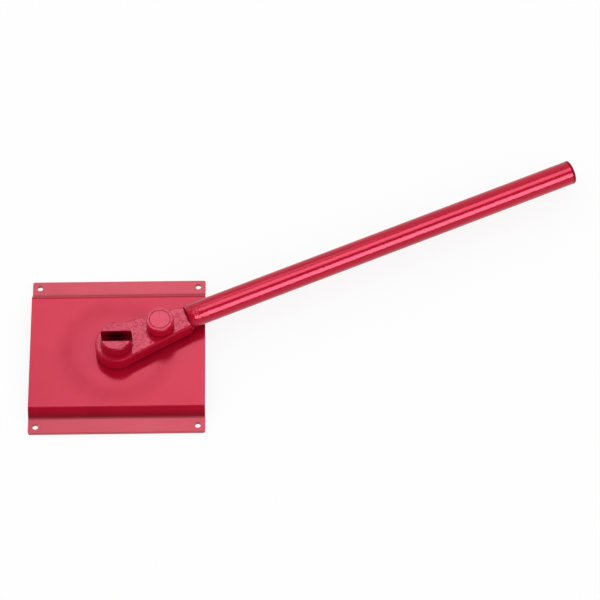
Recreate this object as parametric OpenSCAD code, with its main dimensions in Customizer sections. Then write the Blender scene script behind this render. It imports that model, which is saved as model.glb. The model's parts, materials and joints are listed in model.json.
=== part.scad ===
// Hand lever bender for reinforcing bar.
// A bar is laid in the slot of the fixed post, and the roller on the lever folds it round the post.
// Millimetres, +Z up. The origin is on the post's axis, in the plane of the bench that the base is
// bolted to. +X runs along the slot, and the lever is drawn part way through its swing.

/* [Base plate] */
// Width of the folded plate, along the slot
base_w = 240; // [200:1:300]
// Depth of the folded plate, across the slot
base_d = 240; // [200:1:300]
// Thickness of the sheet
sheet_t = 5; // [4:0.5:6]
// Width of each bolting flange, up to the foot of its web
flange_w = 22.5; // [20:0.5:36]
// How far each web leans outwards between deck and flange
web_run = 8; // [4:0.5:14]
// Inside radius of the bends
bend_r = 3; // [2:0.5:4]
// Radius of the plate's corners
corner_r = 3; // [1:0.5:6]
// Diameter of the bolt holes
bolt_d = 8; // [5:0.5:11]
// Distance from each bolt hole's centre to the plate's two edges
bolt_inset = 10; // [8:0.5:13]

/* [Bending post] */
// Diameter of the slotted head
head_d = 45; // [42:0.5:52]
// Height of the head, above the lever
head_h = 17; // [15.5:0.5:24]
// Chamfer round the top of the head
head_chamfer = 1.8; // [0.5:0.1:3]
// Width of the slot that the bar lies in
slot_w = 14.5; // [8:0.5:18]
// Depth of the slot
slot_depth = 15; // [8:0.5:15.5]
// Chamfer along the slot's upper edges
slot_chamfer = 0.8; // [0.2:0.1:1.5]
// Diameter of the journal that the lever turns on
journal_d = 34; // [30:0.5:36]
// Side of the square neck that stops the post from turning in the deck
neck_side = 24; // [20:0.5:24]
// Diameter of the threaded end under the deck
stud_d = 16; // [12:1:18]

/* [Post fixing] */
// Thickness of the ring that carries the lever above the deck
thrust_t = 4; // [3:0.5:8]
// Width of that ring, measured outwards from the journal
thrust_w = 11; // [6:0.5:11.5]
// Thickness of the washer under the deck
post_washer_t = 3; // [2:0.5:5]
// Outside diameter of the washer under the deck
post_washer_d = 50; // [40:1:60]
// Height of the thin nut
post_nut_h = 8; // [6:0.5:10]
// Width of the nut across its flats
post_nut_flats = 24; // [22:1:30]
// Room between the nut and the bench, which sets how high the deck stands
nut_clear = 1; // [0.5:0.5:8]

/* [Lever] */
// Angle of the lever from the slot, as drawn
lever_angle = 23.3; // [0:0.1:60]
// Thickness of the bar
lever_t = 20; // [16:0.5:24]
// Outside radius of the eye
eye_r = 29.5; // [28:0.5:36]
// Distance from the post's axis to the bar's tail, where the tube starts
tail_at = 104; // [92:1:130]
// How far the tail stands out past the tube on each side
tail_lip = 0.5; // [0.2:0.1:3]
// Radius of the rounded upper edges
edge_r = 2.5; // [0.5:0.5:4]
// Wall of the bush in the eye
bush_wall = 3; // [2:0.5:4]
// Thickness of the tongue that enters the tube
tongue_t = 10; // [6:0.5:11]
// Length of the tongue
tongue_len = 60; // [30:1:90]

/* [Roller] */
// Distance from the post's axis to the roller's axis
roller_at = 64.5; // [60:0.5:68]
// Outside diameter of the roller
roller_d = 38; // [36:0.5:42]
// Height of the roller
roller_h = 16.2; // [14:0.2:24]
// Chamfer at the roller's ends
roller_chamfer = 1.5; // [0.4:0.1:2]
// Diameter of the axle inside the roller
axle_d = 20; // [18:0.5:22]
// Diameter of the axle's shank in the lever
shank_d = 17; // [12:0.5:17]
// Depth of the countersink that the shank is riveted into, under the lever
rivet_depth = 2.5; // [1:0.5:4]
// Diameter of the axle's flat head, which keeps the roller on
axle_head_d = 28; // [25:0.5:30]
// Thickness of the axle's head
axle_head_t = 3.2; // [2.5:0.1:5]
// Chamfer round the axle's head
axle_head_chamfer = 0.4; // [0.2:0.1:1.5]
// How far the head stands above the roller that it is sunk in
axle_proud = 0.2; // [0:0.1:1]
// Room between the head and the wall of the recess that it is sunk in
recess_clear = 0.4; // [0.3:0.1:0.8]
// Thickness of the washer under the roller
roller_washer_t = 1; // [0.5:0.1:2]

/* [Handle] */
// Outside diameter of the tube
tube_d = 33.7; // [30:0.1:36]
// Wall of the tube
tube_wall = 2.6; // [2:0.1:3.2]
// Distance from the post's axis to the far end of the handle
handle_reach = 693; // [400:1:900]
// Room between the tube and the deck that it swings over
tube_clear = 2.15; // [1.5:0.05:4]
// Size of the weld beads
weld_r = 3; // [1.5:0.1:3.5]
// Angle below the tube's middle at which each bead starts
weld_start = 6; // [0:1:20]
// Angle round the tube that each bead covers
weld_sweep = 42; // [20:1:45]
// Thickness of the end plug's rim
plug_rim = 3; // [2:0.5:6]
// Length of the plug inside the tube
plug_len = 18; // [8:1:30]
// Wall of the hollow plug
plug_wall = 2; // [1.5:0.5:4]

/* [Fits] */
// Radial clearance of the turning fits
run_gap = 0.05; // [0.02:0.01:0.1]
// Clearance between faces that slide past each other, and of loose washers
side_gap = 0.2; // [0.1:0.05:0.3]
// Radial allowance of pressed fits and threads
press_gap = 0.02; // [0.01:0.01:0.04]
// Clearance round the square neck, and round the tongue in the tube
loose_gap = 0.3; // [0.1:0.05:0.5]

/* [Hidden] */
$fn = 96;

// Cutters reach this far past the faces that they open.
over = 1;

// Heights, from the bench upwards
nut_under = nut_clear;
washer_under = nut_under + post_nut_h;
deck_under = washer_under + post_washer_t;
deck_top = deck_under + sheet_t;
lever_low = deck_top + thrust_t + side_gap;
lever_top = lever_low + lever_t;
head_low = lever_top + side_gap;
head_top = head_low + head_h;
tube_z = deck_top + tube_clear + tube_d / 2;

// Folds of the base plate
web_foot = base_d / 2 - flange_w;
deck_corner = web_foot - web_run;
fold_angle = atan2(deck_top - sheet_t, web_run);

// Outline of the lever: two lines from the tail's corners, tangent to the eye
tail_half = tube_d / 2 + tail_lip;
tail_reach = norm([tail_at, tail_half]);
tangent_angle = atan2(tail_half, tail_at) + acos(eye_r / tail_reach);
side_len = sqrt(pow(tail_reach, 2) - pow(eye_r, 2));

// Eye, bush and tongue
bush_in_r = journal_d / 2 + run_gap;
bush_out_r = bush_in_r + bush_wall;
tube_in_r = tube_d / 2 - tube_wall;
tongue_low = lever_top - tongue_t;
tongue_far_z = max(abs(lever_top - tube_z), abs(tongue_low - tube_z));
tongue_half = sqrt(pow(tube_in_r - loose_gap, 2) - pow(tongue_far_z, 2));
tube_len = handle_reach - plug_rim - tail_at;

// Roller and its axle
roller_low = lever_top + roller_washer_t + side_gap;
roller_top = roller_low + roller_h;
axle_top = roller_top + axle_proud;
axle_head_low = axle_top - axle_head_t;
recess_low = axle_head_low - side_gap;
recess_r = axle_head_d / 2 + recess_clear;

// The sliver between a sharp corner and the arc that rounds it. The corner's two sides leave it along
// the unit vectors a and b. Taken away outside a bend the sliver rounds it, and added inside it fills it.
module bend_sliver(corner, a, b, r) {
    middle = (a + b) / norm(a + b);
    centre = corner + middle * r / cos(fold_angle / 2);
    tangent_len = r * tan(fold_angle / 2);
    difference() {
        polygon([corner - middle * over, corner + a * tangent_len, centre, corner + b * tangent_len]);
        translate(centre)
            circle(r);
    }
}

// The back half of the folded sheet, its section drawn with X across the plate and Y up.
module half_fold() {
    edge = base_d / 2;
    mitre = sheet_t * tan(fold_angle / 2);
    web_dir = [cos(fold_angle), -sin(fold_angle)];
    linear_extrude(base_w, center = true)
        difference() {
            polygon([[-over, deck_top], [deck_corner, deck_top], [web_foot, sheet_t], [edge, sheet_t],
                     [edge, 0], [web_foot - mitre, 0], [deck_corner - mitre, deck_under],
                     [-over, deck_under]]);
            bend_sliver([deck_corner, deck_top], [-1, 0], web_dir, bend_r + sheet_t);
            bend_sliver([web_foot - mitre, 0], [1, 0], -web_dir, bend_r + sheet_t);
        }
    linear_extrude(base_w, center = true)
        bend_sliver([deck_corner - mitre, deck_under], [-1, 0], web_dir, bend_r);
    linear_extrude(base_w, center = true)
        bend_sliver([web_foot, sheet_t], [1, 0], -web_dir, bend_r);
}

module base_plate() {
    color("crimson") difference() {
        union()
            for (side = [0, 1])
                mirror([0, side, 0])
                    rotate([90, 0, 90])
                        half_fold();
        for (flip_x = [0, 1], flip_y = [0, 1])
            mirror([flip_x, 0, 0]) mirror([0, flip_y, 0]) {
                translate([base_w / 2 - bolt_inset, base_d / 2 - bolt_inset, -over])
                    cylinder(h = sheet_t + 2 * over, d = bolt_d);
                translate([base_w / 2 - corner_r, base_d / 2 - corner_r, -over])
                    linear_extrude(sheet_t + 2 * over)
                        outer_corner(corner_r);
            }
        neck_hole = neck_side + 2 * loose_gap;
        translate([-neck_hole / 2, -neck_hole / 2, deck_under - over])
            cube([neck_hole, neck_hole, sheet_t + 2 * over]);
    }
}

// What a rounded corner leaves outside its arc. The arc's centre is at the origin.
module outer_corner(r) {
    difference() {
        square(r + over);
        circle(r);
    }
}

// Turned post: slotted head, journal, square neck and threaded end.
module bending_post() {
    head_r = head_d / 2;
    journal_r = journal_d / 2;
    color("crimson") difference() {
        union() {
            rotate_extrude()
                polygon([[0, deck_top], [journal_r, deck_top], [journal_r, head_low], [head_r, head_low],
                         [head_r, head_top - head_chamfer], [head_r - head_chamfer, head_top],
                         [0, head_top]]);
            translate([-neck_side / 2, -neck_side / 2, deck_under])
                cube([neck_side, neck_side, sheet_t]);
            translate([0, 0, nut_under])
                cylinder(h = deck_under - nut_under, d = stud_d);
        }
        rotate([90, 0, 90])
            linear_extrude(2 * head_d, center = true)
                slot_section();
    }
}

// Section of the slot, with chamfered upper edges.
module slot_section() {
    half = slot_w / 2;
    floor_z = head_top - slot_depth;
    lip_half = half + slot_chamfer + over;
    polygon([[-half, floor_z], [half, floor_z], [half, head_top - slot_chamfer],
             [lip_half, head_top + over], [-lip_half, head_top + over], [-half, head_top - slot_chamfer]]);
}

module washer(in_r, out_r, low, t) {
    translate([0, 0, low])
        difference() {
            cylinder(h = t, r = out_r);
            translate([0, 0, -over])
                cylinder(h = t + 2 * over, r = in_r);
        }
}

module thrust_washer() {
    in_r = journal_d / 2 + side_gap;
    color("crimson")
        washer(in_r, in_r + thrust_w, deck_top, thrust_t);
}

module post_washer() {
    color("silver")
        washer(stud_d / 2 + side_gap, post_washer_d / 2, washer_under, post_washer_t);
}

// Thin hexagon nut with its corners turned off on the lower face.
module post_nut() {
    flat_r = post_nut_flats / 2;
    corner_reach = flat_r / cos(30);
    corner_drop = corner_reach - flat_r;
    color("silver") translate([0, 0, nut_under])
        difference() {
            intersection() {
                cylinder(h = post_nut_h, r = corner_reach, $fn = 6);
                rotate_extrude()
                    polygon([[0, 0], [flat_r, 0], [corner_reach, corner_drop], [corner_reach, post_nut_h],
                             [0, post_nut_h]]);
            }
            translate([0, 0, -over])
                cylinder(h = post_nut_h + 2 * over, r = stud_d / 2 + press_gap);
        }
}

// Everything on the lever is modelled along +X and then swung to its angle.
module on_lever() {
    rotate([0, 0, lever_angle])
        children();
}

module lever_outline() {
    tangent_point = eye_r * [cos(tangent_angle), sin(tangent_angle)];
    circle(eye_r);
    polygon([[tail_at, -tail_half], [tail_at, tail_half], tangent_point,
             [tangent_point.x, -tangent_point.y]]);
}

// The bar's solid without its holes and without the tongue, its upper edges rounded.
module lever_bar() {
    difference() {
        translate([0, 0, lever_low])
            linear_extrude(lever_t)
                lever_outline();
        rotate([0, 0, tangent_angle])
            rotate_extrude(angle = 360 - 2 * tangent_angle)
                edge_section();
        for (side = [0, 1])
            mirror([0, side, 0])
                rotate([90, 0, tangent_angle])
                    linear_extrude(side_len + over)
                        edge_section();
    }
}

module edge_section() {
    translate([eye_r - edge_r, lever_top - edge_r])
        outer_corner(edge_r);
}

module lever_arm() {
    color("crimson") on_lever()
        difference() {
            union() {
                lever_bar();
                translate([tail_at, -tongue_half, tongue_low])
                    cube([tongue_len, 2 * tongue_half, tongue_t]);
            }
            translate([0, 0, lever_low - over])
                cylinder(h = lever_t + 2 * over, r = bush_out_r + press_gap);
            translate([roller_at, 0, 0]) {
                translate([0, 0, lever_low - over])
                    cylinder(h = lever_t + 2 * over, r = shank_d / 2 + press_gap);
                translate([0, 0, lever_low])
                    rivet_cone(press_gap);
            }
        }
}

// Countersink under the lever, and the foot of the axle that is riveted into it.
module rivet_cone(gap) {
    cylinder(h = rivet_depth, r1 = shank_d / 2 + rivet_depth + gap, r2 = shank_d / 2 + gap);
}

module pivot_bush() {
    color("goldenrod")
        washer(bush_in_r, bush_out_r, lever_low, lever_t);
}

// Headed pin: the head keeps the roller on, and the shank is riveted under the lever.
module roller_axle() {
    shank_r = shank_d / 2;
    axle_r = axle_d / 2;
    cap_r = axle_head_d / 2;
    color("crimson") on_lever() translate([roller_at, 0, 0]) {
        rotate_extrude()
            polygon([[0, lever_low], [shank_r, lever_low], [shank_r, lever_top], [axle_r, lever_top],
                     [axle_r, axle_head_low], [cap_r, axle_head_low],
                     [cap_r, axle_top - axle_head_chamfer], [cap_r - axle_head_chamfer, axle_top],
                     [0, axle_top]]);
        translate([0, 0, lever_low])
            rivet_cone(0);
    }
}

module roller_washer() {
    color("crimson") on_lever() translate([roller_at, 0, 0])
        washer(axle_d / 2 + side_gap, roller_d / 2 - roller_chamfer, lever_top, roller_washer_t);
}

// Turned roller with a running bore and a recess for the axle's head.
module bending_roller() {
    out_r = roller_d / 2;
    in_r = axle_d / 2 + run_gap;
    color("crimson") on_lever() translate([roller_at, 0, 0])
        rotate_extrude()
            polygon([[in_r, roller_low], [out_r - roller_chamfer, roller_low],
                     [out_r, roller_low + roller_chamfer], [out_r, roller_top - roller_chamfer],
                     [out_r - roller_chamfer, roller_top], [recess_r, roller_top],
                     [recess_r, recess_low], [in_r, recess_low]]);
}

// Pieces of the handle are turned about the tube's axis, which lies along +X before the swing.
module on_tube_axis(from) {
    on_lever()
        translate([from, 0, tube_z])
            rotate([0, 90, 0])
                children();
}

module handle_tube() {
    color("crimson") on_tube_axis(tail_at)
        difference() {
            cylinder(h = tube_len, d = tube_d);
            translate([0, 0, -over])
                cylinder(h = tube_len + 2 * over, r = tube_in_r);
        }
}

// One bead on each side, in the corner between the tube and the end face of the bar's tail.
module handle_weld() {
    color("firebrick") on_tube_axis(tail_at)
        for (side = [0, 1])
            mirror([0, side, 0])
                rotate(90 - weld_start - weld_sweep)
                    rotate_extrude(angle = weld_sweep)
                        translate([tube_d / 2, 0])
                            intersection() {
                                circle(weld_r);
                                square(weld_r);
                            }
}

// Cup-shaped plug with a rounded rim that is flush with the tube.
module handle_plug() {
    plug_r = tube_in_r - press_gap;
    rim_r = tube_d / 2;
    rim_round = plug_rim / 2;
    color("crimson") on_tube_axis(tail_at + tube_len)
        rotate_extrude()
            difference() {
                union() {
                    translate([0, -plug_len])
                        square([plug_r, plug_len + plug_rim]);
                    square([rim_r, plug_rim]);
                }
                translate([-over, -plug_len - over])
                    square([plug_r - plug_wall + over, plug_len + over]);
                translate([rim_r - rim_round, plug_rim - rim_round])
                    outer_corner(rim_round);
            }
}

base_plate();
bending_post();
thrust_washer();
post_washer();
post_nut();
lever_arm();
pivot_bush();
roller_axle();
roller_washer();
bending_roller();
handle_tube();
handle_weld();
handle_plug();
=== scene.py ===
import json
import math

import bpy
from mathutils import Matrix, Vector

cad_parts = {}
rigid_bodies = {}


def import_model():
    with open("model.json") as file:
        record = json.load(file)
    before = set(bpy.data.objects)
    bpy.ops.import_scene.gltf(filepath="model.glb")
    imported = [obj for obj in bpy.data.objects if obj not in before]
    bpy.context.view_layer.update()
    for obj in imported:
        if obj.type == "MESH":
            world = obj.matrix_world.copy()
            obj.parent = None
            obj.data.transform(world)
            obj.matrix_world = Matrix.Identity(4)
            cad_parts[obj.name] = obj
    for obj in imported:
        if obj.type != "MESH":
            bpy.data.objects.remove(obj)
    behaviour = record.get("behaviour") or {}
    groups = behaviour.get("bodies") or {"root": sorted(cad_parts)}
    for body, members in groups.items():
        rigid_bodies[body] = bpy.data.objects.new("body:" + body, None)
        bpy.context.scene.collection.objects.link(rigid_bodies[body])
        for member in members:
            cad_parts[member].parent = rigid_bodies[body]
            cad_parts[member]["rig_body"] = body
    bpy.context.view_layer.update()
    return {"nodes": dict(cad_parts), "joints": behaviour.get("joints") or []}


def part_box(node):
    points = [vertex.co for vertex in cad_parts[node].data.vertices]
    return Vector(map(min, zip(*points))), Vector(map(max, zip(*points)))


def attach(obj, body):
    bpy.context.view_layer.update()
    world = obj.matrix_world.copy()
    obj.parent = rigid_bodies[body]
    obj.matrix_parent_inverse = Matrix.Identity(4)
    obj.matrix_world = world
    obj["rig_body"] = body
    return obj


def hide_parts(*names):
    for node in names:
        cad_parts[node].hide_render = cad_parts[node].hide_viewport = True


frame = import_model()


# Base plate: a square of 5 mm steel sheet, sheared to size and folded in a press into a raised deck
# with two bolting flanges. Its edges are dressed with a file, its corners and holes are punched, and
# it is sprayed with crimson enamel.

mm = 0.001
micron = 1e-6


class Wire:
    """A node's socket. Arithmetic on it adds Math nodes to the finish that it belongs to."""

    def __init__(self, finish, socket):
        self.finish = finish
        self.socket = socket

    def __add__(self, other):
        return self.finish.maths("ADD", self, other)

    def __sub__(self, other):
        return self.finish.maths("SUBTRACT", self, other)

    def __rsub__(self, other):
        return self.finish.maths("SUBTRACT", other, self)

    def __mul__(self, other):
        return self.finish.maths("MULTIPLY", self, other)

    def __abs__(self):
        return self.finish.maths("ABSOLUTE", self)

    __radd__ = __add__
    __rmul__ = __mul__


class Finish:
    """The nodes of one material, or of the world, and ways to add more."""

    def __init__(self, owner, coordinates="Object"):
        owner.use_nodes = True
        self.owner = owner
        self.tree = owner.node_tree
        self.place = self.node("ShaderNodeTexCoord", output=coordinates)

    def node(self, kind, settings=(), sockets=(), output=0):
        """Adds a node, sets what it is, then its sockets, and gives back one of its outputs."""
        made = self.tree.nodes.new(kind)
        for setting, value in dict(settings).items():
            setattr(made, setting, value)
        for socket, value in dict(sockets).items():
            self.feed(made.inputs[socket], value)
        return Wire(self, made.outputs[output])

    def feed(self, socket, value):
        """Links a wire to a socket, or sets the socket to a constant."""
        if isinstance(value, Wire):
            self.tree.links.new(value.socket, socket)
        else:
            socket.default_value = value

    def set(self, **sockets):
        """Feeds the surface shader."""
        shader = self.tree.nodes["Principled BSDF"]
        for name, value in sockets.items():
            self.feed(shader.inputs[name.replace("_", " ")], value)

    def maths(self, operation, first, second=0):
        """Arithmetic on values, where at least one is a wire."""
        return self.node("ShaderNodeMath", {"operation": operation}, {0: first, 1: second})

    def vectors(self, operation, *parts, output="Vector"):
        """Arithmetic on points and directions."""
        return self.node("ShaderNodeVectorMath", {"operation": operation}, enumerate(parts), output)

    def axis(self, letter, vector=None):
        """One coordinate of a point, of the shaded one unless another is given."""
        return self.node("ShaderNodeSeparateXYZ", {}, {0: vector or self.place}, output=letter)

    def noise(self, size, detail, drawn_out=(1, 1, 1)):
        """Cloudy values about 0.5 whose patches are about size metres, drawn out by the given factors."""
        shrink = [1 / factor for factor in drawn_out]
        place = self.node("ShaderNodeMapping", {}, {"Vector": self.place, "Scale": shrink})
        return self.node("ShaderNodeTexNoise", {}, {"Vector": place, "Scale": 1 / size, "Detail": detail})

    def ramp(self, value, low, high):
        """0 below low, 1 above high and smooth between them."""
        return self.node(
            "ShaderNodeMapRange",
            {"interpolation_type": "SMOOTHSTEP"},
            {"Value": value, "From Min": low, "From Max": high},
        )

    def blend(self, share, first, second):
        """A colour between two others."""
        colours = [(*colour, 1) if isinstance(colour, tuple) else colour for colour in (first, second)]
        return self.node(
            "ShaderNodeMix",
            {"data_type": "RGBA"},
            {"Factor": share, "A": colours[0], "B": colours[1]},
            output=2,
        )

    def relief(self, height):
        """Bumps of this height in metres."""
        bump = self.node("ShaderNodeBump", {}, {"Height": height, "Distance": 1.0, "Strength": 1.0})
        self.set(Normal=bump)


crimson = (0.385, 0.0035, 0.0205)
deep_crimson = (0.34, 0.0025, 0.017)
gloss_tint = (1.0, 0.17, 0.26)
depth_patch = 90 * mm
dull_patch = 14 * mm
dull_range = 0.08
peel_size = 2.2 * mm
peel_height = 5 * micron
nib_spacing = 17 * mm
nib_share = 0.03
nib_height = 12 * micron


def enamel(name, rough, under=None, dust_and_shades=(), painted_light=1.0, gloss=gloss_tint):
    """Sprayed crimson enamel: a fine orange peel, a few dust nibs and a slow change of depth. under gives
    the height, in metres, of what the steel's own surface shows through it. The next argument lists
    overlays of painted shade, and of dust with painted sheen; each gives its share, its colour and the
    roughness that it adds. The factor after them scales the coat's colour: above 1 it is painted light, for
    a piece that must look more brightly lit."""
    paint = Finish(bpy.data.materials.new(name))
    # Painted light: above 1, this factor brightens the coat's colour.
    coats = [tuple(painted_light * part for part in coat) for coat in (deep_crimson, crimson)]
    colour = paint.blend(paint.ramp(paint.noise(depth_patch, 3.0), 0.3, 0.7), *coats)
    dullness = dull_range * paint.noise(dull_patch, 4.0) - dull_range / 2
    # Overlays of painted shade, and of dust with painted sheen, laid over the coat.
    for dust_and_shade in dust_and_shades:
        share, dust_and_shade_colour, dust_and_shade_dullness = dust_and_shade(paint)
        colour = paint.blend(share, colour, dust_and_shade_colour)
        dullness = dullness + dust_and_shade_dullness
    paint.set(
        Base_Color=colour,
        Roughness=rough + dullness,
        Specular_IOR_Level=1.0,
        Specular_Tint=(*gloss, 1),
    )
    spots = paint.node(
        "ShaderNodeTexVoronoi",
        {},
        {"Vector": paint.place, "Scale": 1 / nib_spacing},
        output="Distance",
    )
    nibs = 1 - paint.ramp(spots, 0.0, nib_share)
    height = peel_height * paint.noise(peel_size, 1.0) + nib_height * nibs
    paint.relief(height + under(paint) if under else height)
    return paint.owner


def dress(piece, material):
    """Gives a piece one finish all over."""
    piece.data.materials.clear()
    piece.data.materials.append(material)


def work_on(piece):
    """Selects one object and nothing else, so that operators act on it alone."""
    bpy.ops.object.select_all(action="DESELECT")
    piece.select_set(True)
    bpy.context.view_layer.objects.active = piece


def stand_for(piece, node, name, material):
    """Gives a finished piece its name, its finish and the place of a CAD node on that node's body."""
    piece.name = name
    dress(piece, material)
    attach(piece, frame["nodes"][node]["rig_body"])
    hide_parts(node)


def edges_shared_by(piece, sharing):
    """Selects the edges that have one face (use_boundary), or three and more (use_multi_face), and gives
    back how many there are."""
    kinds = ("use_wire", "use_boundary", "use_multi_face", "use_non_contiguous", "use_verts")
    bpy.ops.mesh.select_all(action="DESELECT")
    bpy.ops.mesh.select_non_manifold(**{kind: kind == sharing for kind in kinds})
    return piece.data.total_edge_sel


merge_distance = 0.002 * mm
same_face_angle = math.radians(0.3)
sharp_angle = math.radians(32)
smooth_angle = math.radians(30)


def ease_edges(node, name, width, material):
    """A copy of a CAD node with its triangles joined into faces and its sharp edges rounded over by width,
    as filed and painted steel has them. A fin that has become a single layer, and so ends in edges with one
    face and starts from an edge with three, is peeled off first."""
    piece = bpy.data.objects.new(name, frame["nodes"][node].data.copy())
    bpy.context.scene.collection.objects.link(piece)
    work_on(piece)
    bpy.ops.mesh.customdata_custom_splitnormals_clear()
    bpy.ops.object.mode_set(mode="EDIT")
    bpy.ops.mesh.select_all(action="SELECT")
    bpy.ops.mesh.remove_doubles(threshold=merge_distance)
    bpy.ops.mesh.select_mode(type="EDGE")
    while edges_shared_by(piece, "use_multi_face") and edges_shared_by(piece, "use_boundary"):
        bpy.ops.mesh.delete(type="EDGE")
    bpy.ops.mesh.select_all(action="SELECT")
    bpy.ops.mesh.dissolve_limited(angle_limit=same_face_angle)
    bpy.ops.object.mode_set(mode="OBJECT")
    easing = piece.modifiers.new("eased edges", "BEVEL")
    easing.width = width
    easing.segments = 3
    easing.limit_method = "ANGLE"
    easing.angle_limit = sharp_angle
    easing.use_clamp_overlap = False
    bpy.ops.object.modifier_apply(modifier=easing.name)
    bpy.ops.object.shade_smooth_by_angle(angle=smooth_angle)
    flats = piece.modifiers.new("flat faces stay flat", "WEIGHTED_NORMAL")
    flats.weight = 100
    flats.keep_sharp = True
    bpy.ops.object.modifier_apply(modifier=flats.name)
    stand_for(piece, node, name, material)
    return piece


sheet_wave = 70 * mm
sheet_wave_height = 40 * micron


def pressed_sheet(paint):
    """Slow waves of rolled sheet, longer the way it was rolled."""
    return sheet_wave_height * paint.noise(sheet_wave, 1.0, drawn_out=(2.5, 1, 1))


# A ring of painted shade on the deck round the post: where it starts and ends, its patches, share,
# roughness and colour.
halo_start = (48 * mm, 68 * mm)
halo_end = (70 * mm, 96 * mm)
halo_patch = 25 * mm
halo_shade_share = 0.06
halo_dullness = 0.09
halo_shade_crimson = (0.22, 0.001, 0.006)


def halo_shade_ring(paint):
    """Painted shade: a darker ring on the deck round the post, for the dim halo that the deck's gloss shows
    there, with its roughness raised as well.
    """
    reach = paint.vectors("LENGTH", paint.place, output="Value")
    ring = paint.ramp(reach, *halo_start) * (1 - paint.ramp(reach, *halo_end))
    worn = ring * (0.6 + 0.8 * paint.noise(halo_patch, 3.0))
    return halo_shade_share * worn, halo_shade_crimson, halo_dullness * worn


flange_top = 5 * mm
# Pale dust on the flanges, which also stands as painted sheen.
dust_and_sheen_fade = 3 * mm
dust_and_sheen_patch = 30 * mm
dust_dullness = 0.3
pale_dust_and_sheen = (0.6, 0.45, 0.45)
sweep_grain = (4, 1, 1)


def flange_dust_and_sheen(paint):
    """Pale dust on the two flanges, in streaks along the folds, which also paints the brighter sheen of
    their gloss.
    """
    low = 1 - paint.ramp(paint.axis("Z"), flange_top, flange_top + dust_and_sheen_fade)
    share = low * (0.07 + 0.08 * paint.noise(dust_and_sheen_patch, 3.0, sweep_grain))
    return share, pale_dust_and_sheen, dust_dullness * share


# Painted shade at the foot of the webs, just above the flanges.
crease_shade_start = (0.2 * mm, 1.2 * mm)
crease_shade_end = (2 * mm, 10 * mm)
crease_shade_patch = 12 * mm
crease_shade_dullness = 0.1
crease_shade = (0.1, 0.0005, 0.002)


def fold_shade(paint):
    """Painted shade in the crease at the foot of the two webs, in streaks along the folds, with the
    roughness raised there.
    """
    above = paint.axis("Z") - flange_top
    foot = paint.ramp(above, *crease_shade_start) * (1 - paint.ramp(above, *crease_shade_end))
    share = foot * (0.3 + 0.3 * paint.noise(crease_shade_patch, 3.0, sweep_grain))
    return share, crease_shade, crease_shade_dullness * foot


plate_enamel = enamel("plate enamel", 0.14, pressed_sheet, [halo_shade_ring, flange_dust_and_sheen, fold_shade])
plate = ease_edges("base_plate", "folded_plate", 0.5 * mm, plate_enamel)


# Bending post: a turned steel post with a slot milled across its head, which the bar is laid in. Its
# square neck sits in the deck, and a washer and a thin nut hold it down from below. It has the plate's
# enamel, over the pits of the forging.

pit_size = 3.2 * mm
pit_patch = 11 * mm
# The share and colour of the painted shade in the pits.
pit_shade_share = 0.35
pit_shade_crimson = (0.1, 0.001, 0.004)


def pit_depth(paint):
    """How deep the pits of forged and rolled steel are here, from 0 to 1. They come in patches."""
    patches = 0.35 + 0.65 * paint.ramp(paint.noise(pit_patch, 1.0), 0.4, 0.6)
    return patches * paint.ramp(paint.noise(pit_size, 2.0), 0.52, 0.64)


def pit_shade(paint):
    """Painted shade: a darker colour down in the pits."""
    return pit_shade_share * pit_depth(paint), pit_shade_crimson, 0.0


lathe_pitch = 0.9 * mm
lathe_height = 3 * micron


def lathe_rings(axis_at, pits=0.0):
    """Height of the fine rings that a lathe leaves round an upright axis, with pits of the given depth."""

    def rings(paint):
        arm = paint.vectors("SUBTRACT", paint.place, axis_at)
        east = paint.axis("X", arm)
        north = paint.axis("Y", arm)
        reach = paint.maths("SQRT", east * east + north * north)
        height = lathe_height * paint.maths("SINE", reach * (2 * math.pi / lathe_pitch))
        return height - pits * pit_depth(paint) if pits else height

    return rings


slot_wall = 7.5 * mm
wall_blur = 0.2 * mm
# Painted shade in the slot: its heights, its reach from the middle, where the post's head starts, its gloss
# and its colour.
slot_shade_heights = (50 * mm, 60 * mm)
slot_shade_middle = (3 * mm, 17 * mm)
head_start = (40 * mm, 42 * mm)
slot_shade_gloss = 0.1
slot_shade_colour = (0.045, 0.0003, 0.0008)


def slot_shade(paint):
    """Painted shade between the slot's walls, darker towards its floor and its middle where the slot is
    shaded, with the roughness lowered there.
    """
    height = paint.axis("Z")
    between = 1 - paint.ramp(abs(paint.axis("Y")), slot_wall - wall_blur, slot_wall + wall_blur)
    deep = 1 - paint.ramp(height, *slot_shade_heights)
    middle = 1 - paint.ramp(abs(paint.axis("X")), *slot_shade_middle)
    share = between * (0.3 + 0.35 * deep + 0.35 * middle) * paint.ramp(height, *head_start)
    return share, slot_shade_colour, -slot_shade_gloss * share


post_axis = (0, 0, 0)
forged_rough = 0.16
forged_pits = 110 * micron
pale_gloss = (1.0, 0.29, 0.42)
post_enamel = enamel(
    "post enamel",
    forged_rough,
    under=lathe_rings(post_axis, forged_pits),
    dust_and_shades=[pit_shade, slot_shade],
    gloss=pale_gloss,
)
post = ease_edges("bending_post", "slotted_post", 0.35 * mm, post_enamel)


# Thrust ring: a flat steel ring on the deck that carries the lever's eye, in the plate's enamel.
# Washer and nut: stock hardware with a bright zinc coat, which clamp the post to the deck from below.

ease_edges("thrust_washer", "thrust_ring", 0.4 * mm, enamel("ring enamel", 0.25))

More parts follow.
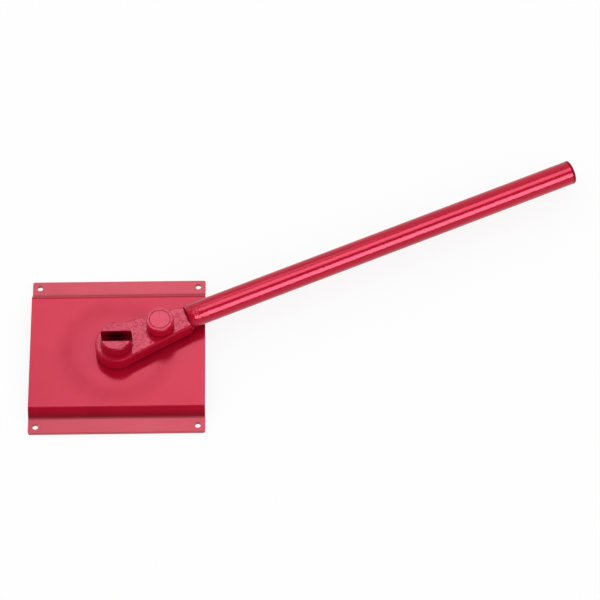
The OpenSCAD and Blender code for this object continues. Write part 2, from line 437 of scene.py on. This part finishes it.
zinc_blue = (0.56, 0.57, 0.6)
zinc_yellow = (0.58, 0.54, 0.44)
zinc = Finish(bpy.data.materials.new("bright zinc"))
bloom = zinc.ramp(zinc.noise(9 * mm, 3.0), 0.4, 0.7)
zinc.set(
    Base_Color=zinc.blend(bloom, zinc_blue, zinc_yellow),
    Metallic=1.0,
    Roughness=0.26 + 0.14 * zinc.noise(3 * mm, 4.0),
)
zinc.relief(4 * micron * zinc.noise(1.2 * mm, 3.0))
ease_edges("post_washer", "wide_washer", 0.4 * mm, zinc.owner)
ease_edges("post_nut", "thin_nut", 0.3 * mm, zinc.owner)


# Lever: a thick flat bar, flame cut to an eye at one end and a blunt tail at the other. A bronze bush is
# pressed into the eye. The bar keeps its rough rolled skin, which shows through the enamel.

up = Vector((0, 0, 1))
roller_axis = Vector(next(joint for joint in frame["joints"] if joint["name"] == "roller_spin")["pos_m"])
along = Vector((roller_axis.x, roller_axis.y, 0)).normalized()
across = up.cross(along)
lever_turn = math.atan2(along.y, along.x)

# Painted light: the lever's coat is brightened by this factor.
lever_painted_light = 1.22
skin_wave = 12 * mm
skin_wave_height = 30 * micron
rolled_pits = 140 * micron


def rolled_skin(paint):
    """Pits and scale of hot rolled bar."""
    return skin_wave_height * paint.noise(skin_wave, 2.0) - rolled_pits * pit_depth(paint)


lever_enamel = enamel("lever enamel", 0.13, rolled_skin, [pit_shade], lever_painted_light, pale_gloss)
lever = ease_edges("lever_arm", "lever_bar", 0.4 * mm, lever_enamel)

fresh_bronze = (0.52, 0.3, 0.11)
brown_bronze = (0.33, 0.19, 0.08)
bronze = Finish(bpy.data.materials.new("turned bronze"))
patina = bronze.ramp(bronze.noise(5 * mm, 3.0), 0.35, 0.7)
bronze.set(
    Base_Color=bronze.blend(patina, fresh_bronze, brown_bronze),
    Metallic=1.0,
    Roughness=0.3 + 0.15 * bronze.noise(2 * mm, 3.0),
)
bronze.relief(lathe_rings(post_axis)(bronze))
ease_edges("pivot_bush", "eye_bush", 0.4 * mm, bronze.owner)


# Roller: a turned steel roller on a headed axle, with a thin washer between it and the lever. The axle's
# foot is riveted under the lever and its head is marked by the hammer. All three are sprayed with the
# lever.

# Painted light: the coat of the roller, its washer and its axle is brightened by this factor.
roller_painted_light = 1.3
dent_spacing = 6 * mm
dent_height = 160 * micron


def hammer_marks(paint):
    """Dents that the hammer left on the axle's head."""
    dents = paint.node(
        "ShaderNodeTexVoronoi",
        {"feature": "SMOOTH_F1"},
        {"Vector": paint.place, "Scale": 1 / dent_spacing, "Smoothness": 0.4},
        output="Distance",
    )
    return dent_height * dents


def roller_finish(name, under):
    """The coat that the roller and its axle share, brightened as painted light, over their own surfaces."""
    return enamel(name, forged_rough, under, [pit_shade], roller_painted_light, pale_gloss)


roller_enamel = roller_finish("roller enamel", lathe_rings(roller_axis, forged_pits))
roller = ease_edges("bending_roller", "turned_roller", 0.2 * mm, roller_enamel)
axle = ease_edges("roller_axle", "axle_pin", 0.15 * mm, roller_finish("axle enamel", hammer_marks))
ease_edges("roller_washer", "thin_washer", 0.2 * mm, roller_enamel)


# Handle: a length of one inch steel pipe over the lever's tongue. Its mouth is rounded with a grinder and
# welded to the bar's tail on both sides, and a moulded plug closes its far end.


def turned_piece(profile, sides):
    """A piece drawn ring by ring along the lever, from pairs of distance along it and radius."""
    place, radius = profile[0]
    bpy.ops.object.select_all(action="DESELECT")
    bpy.ops.mesh.primitive_circle_add(vertices=sides, radius=radius, rotation=(0, math.pi / 2, 0))
    piece = bpy.context.object
    bpy.ops.object.transform_apply(location=False, rotation=True, scale=False)
    bpy.ops.object.mode_set(mode="EDIT")
    bpy.ops.mesh.select_all(action="SELECT")
    bpy.ops.transform.translate(value=(place, 0, 0))
    for next_place, next_radius in profile[1:]:
        bpy.ops.mesh.extrude_edges_move(TRANSFORM_OT_translate={"value": (next_place - place, 0, 0)})
        widen = next_radius / radius
        bpy.ops.transform.resize(value=(1, widen, widen), center_override=(next_place, 0, 0))
        place, radius = next_place, next_radius
    bpy.ops.mesh.select_all(action="SELECT")
    bpy.ops.mesh.remove_doubles(threshold=merge_distance)
    bpy.ops.mesh.normals_make_consistent(inside=False)
    bpy.ops.object.mode_set(mode="OBJECT")
    return piece


tube_points = [vertex.co for vertex in frame["nodes"]["handle_tube"].data.vertices]
mouth_at = min(point.dot(along) for point in tube_points)
far_at = max(point.dot(along) for point in tube_points)
pipe_height = sum(corner.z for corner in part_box("handle_tube")) / 2


def pipe_reach(point):
    """How far a point lies from the pipe's middle line."""
    return math.hypot(point.dot(across), point.z - pipe_height)


bore_radius = min(pipe_reach(point) for point in tube_points)
pipe_radius = max(pipe_reach(point) for point in tube_points)

mouth_run = 9 * mm
mouth_drop = 2.4 * mm
mouth_steps = 10
far_lip = 0.9 * mm
pipe_sides = 144
# Painted light: the pipe's coat is brightened by this factor.
pipe_painted_light = 1.15
pipe_wave = 12 * mm
pipe_wave_height = 6 * micron
grind_mark = 5.5 * mm
grind_height = 1200 * micron

mouth = [
    (mouth_at + mouth_run * (1 - math.cos(turn)), pipe_radius - mouth_drop * (1 - math.sin(turn)))
    for turn in (math.pi / 2 * step / mouth_steps for step in range(mouth_steps + 1))
]
wall = [
    (mouth_at + mouth_run + far_lip, pipe_radius),
    (far_at - 2 * far_lip, pipe_radius),
    (far_at - far_lip, pipe_radius),
    (far_at, pipe_radius - far_lip),
]
bore = [(far_at, bore_radius), (mouth_at, bore_radius)]
pipe = turned_piece(bore + mouth + wall + bore[:1], pipe_sides)
pipe.matrix_world = Matrix.Translation(up * pipe_height) @ Matrix.Rotation(lever_turn, 4, "Z")
bpy.ops.object.transform_apply(location=True, rotation=True, scale=False)
bpy.ops.object.shade_smooth_by_angle(angle=math.radians(40))


def drawn_pipe(paint):
    """Faint waves of the pipe's wall, and grinding marks round its mouth."""
    reach = paint.vectors("DOT_PRODUCT", paint.place, along, output="Value")
    ground = 1 - paint.ramp(reach, mouth_at + mouth_run, mouth_at + 4 * mouth_run)
    waves = pipe_wave_height * paint.noise(pipe_wave, 2.0)
    return waves + grind_height * ground * paint.noise(grind_mark, 2.0)


stand_for(pipe, "handle_tube", "handle_pipe", enamel("pipe enamel", 0.18, drawn_pipe, painted_light=pipe_painted_light))

weld_points = [vertex.co for vertex in frame["nodes"]["handle_weld"].data.vertices]
weld_angles = [math.atan2(pipe_height - point.z, abs(point.dot(across))) for point in weld_points]
weld_leg = max(pipe_reach(point) for point in weld_points) - pipe_radius
weld_middle = along * (mouth_at + 0.3 * weld_leg) + up * pipe_height
weld_reach = pipe_radius + 0.1 * weld_leg
ripple_size = 0.72
ripple_change = 0.05
ripple_beat = 2.7
ripple_step = 0.55 * weld_leg / pipe_radius
ripples = int((max(weld_angles) - min(weld_angles)) / ripple_step)
balls = []
for side in (-1, 1):
    for ripple in range(ripples):
        angle = min(weld_angles) + (ripple + 0.5) * ripple_step
        spoke = across * side * math.cos(angle) - up * math.sin(angle)
        bpy.ops.object.select_all(action="DESELECT")
        bpy.ops.mesh.primitive_uv_sphere_add(
            segments=20,
            ring_count=12,
            radius=weld_leg * (ripple_size + ripple_change * math.sin(ripple_beat * ripple)),
            location=weld_middle + spoke * weld_reach,
        )
        balls.append(bpy.context.object)
bpy.ops.object.select_all(action="DESELECT")
for ball in balls:
    ball.select_set(True)
weld = balls[0]
bpy.context.view_layer.objects.active = weld
bpy.ops.object.join()
bpy.ops.object.transform_apply(location=True, rotation=True, scale=True)
flow = weld.modifiers.new("one bead", "REMESH")
flow.mode = "VOXEL"
flow.voxel_size = 0.25 * mm
bpy.ops.object.modifier_apply(modifier=flow.name)
soften = weld.modifiers.new("soft ripples", "SMOOTH")
soften.iterations = 3
bpy.ops.object.modifier_apply(modifier=soften.name)
bpy.ops.object.shade_smooth()
stand_for(weld, "handle_weld", "weld_beads", enamel("weld enamel", 0.3, rolled_skin))

plug_crimson = (0.2, 0.001, 0.008)
moulding = Finish(bpy.data.materials.new("moulded plug"))
moulding.set(
    Base_Color=moulding.blend(moulding.noise(20 * mm, 2.0), deep_crimson, plug_crimson),
    Roughness=0.3 + 0.1 * moulding.noise(2 * mm, 3.0),
    Specular_Tint=(*gloss_tint, 1),
)
moulding.relief(8 * micron * moulding.noise(0.7 * mm, 2.0))
ease_edges("handle_plug", "end_plug", 0.5 * mm, moulding.owner)


# Studio: a white floor that keeps the object's shadow, an even room, and softboxes that show only in the
# gloss. Two along the handle make the stripes on its pipe. Two behind and one in front veil the flat
# faces.

floor_radius = 25
floor_drop = 0.2 * mm
floor_shown = 0.85

bpy.ops.object.select_all(action="DESELECT")
bpy.ops.mesh.primitive_circle_add(
    vertices=96,
    radius=floor_radius,
    fill_type="NGON",
    location=(0, 0, -floor_drop),
)
floor = bpy.context.object
floor.name = "floor"
paper = Finish(bpy.data.materials.new("white floor"))
paper.set(Base_Color=(0.9, 0.9, 0.9, 1), Roughness=0.9, Specular_IOR_Level=0.1)
ray_kinds = ("Camera", "Glossy", "Transmission")
rays = [paper.node("ShaderNodeLightPath", output=f"Is {kind} Ray") for kind in ray_kinds]
glow = paper.node("ShaderNodeEmission", {}, {"Color": (1, 1, 1, 1), "Strength": 1.0})
shown = paper.node(
    "ShaderNodeMixShader",
    {},
    {
        0: paper.maths("MINIMUM", sum(rays[1:], rays[0]), 1) * floor_shown,
        1: Wire(paper, paper.tree.nodes["Principled BSDF"].outputs[0]),
        2: glow,
    },
)
paper.feed(paper.tree.nodes["Material Output"].inputs["Surface"], shown)
dress(floor, paper.owner)

lamp_distance = 2.76
stripe_reach = 1.18
stripe_length = 1.41
veil_lean = 29.5
veil_width = 0.66


def softbox(name, lean, reach, size, radiance, shown_by=()):
    """A flat lamp over a point at this reach along the handle, leaning from straight up by an angle in
    degrees that is positive to the back. Its size is along and across the handle. It lights only the gloss
    and, where pieces are given, only theirs."""
    length, width = size
    light = bpy.data.lights.new(name, "AREA")
    light.shape = "RECTANGLE"
    light.size = length
    light.size_y = width
    light.energy = radiance * math.pi * length * width
    holder = bpy.data.objects.new(name, light)
    bpy.context.scene.collection.objects.link(holder)
    tilt = math.radians(lean)
    outward = across * math.sin(tilt) + up * math.cos(tilt)
    facing = Matrix((along, outward.cross(along), outward)).transposed().to_4x4()
    holder.matrix_world = Matrix.Translation(along * reach + outward * lamp_distance) @ facing
    holder.visible_diffuse = False
    if shown_by:
        holder.light_linking.receiver_collection = bpy.data.collections.new(name)
    for piece in shown_by:
        holder.light_linking.receiver_collection.objects.link(piece)


softbox(
    "overhead softbox",
    lean=-2,
    reach=stripe_reach,
    size=(stripe_length, 1.44),
    radiance=6.4,
    shown_by=[pipe],
)
softbox(
    "front softbox",
    lean=-60,
    reach=stripe_reach,
    size=(stripe_length, 1.61),
    radiance=13.0,
    shown_by=[pipe],
)
softbox("back softbox", lean=veil_lean, reach=0.46, size=(0.7, veil_width), radiance=3.15)
softbox("tail softbox", lean=veil_lean, reach=0.77, size=(0.5, veil_width), radiance=3.6)
softbox(
    "sheen softbox",
    lean=-52,
    reach=0.1,
    size=(1.6, 1.0),
    radiance=2.4,
    shown_by=[plate, post, lever, roller, axle],
)

dome_light = 1.06
dark_wall = 0.1
bright_wall = 1.0

room = Finish(bpy.data.worlds.new("studio"), "Generated")
bpy.context.scene.world = room.owner
depth = room.vectors("DOT_PRODUCT", room.place, across, output="Value")
reflected = room.node("ShaderNodeLightPath", output="Is Glossy Ray")
walls = dark_wall + (bright_wall - dark_wall) * room.ramp(depth, -0.15, 0.6)
sky = room.tree.nodes["Background"]
room.feed(sky.inputs["Color"], (1, 1, 1, 1))
room.feed(sky.inputs["Strength"], dome_light * (1 - reflected) + walls * reflected)


# Camera: a long lens above the front of the plate, turned so that the plate lies low on the left and the
# handle's end high on the right.

elevation = math.radians(58.53)
camera_turn = math.radians(0.793)
distance = 4.1208
aside = 0.2498
raised = 0.0792
lens_pixels = 3000
image_pixels = 600

camera_data = bpy.data.cameras.new("camera")
camera_data.sensor_width = 36
camera_data.lens = camera_data.sensor_width * lens_pixels / image_pixels
camera_data.clip_end = 100
camera = bpy.data.objects.new("camera", camera_data)
bpy.context.scene.collection.objects.link(camera)
aim = Matrix.Rotation(-camera_turn, 4, "Z") @ Matrix.Rotation(math.pi / 2 - elevation, 4, "X")
camera.matrix_world = aim @ Matrix.Translation((aside, raised, distance))
bpy.context.scene.camera = camera
bpy.context.scene.view_settings.view_transform = "Standard"
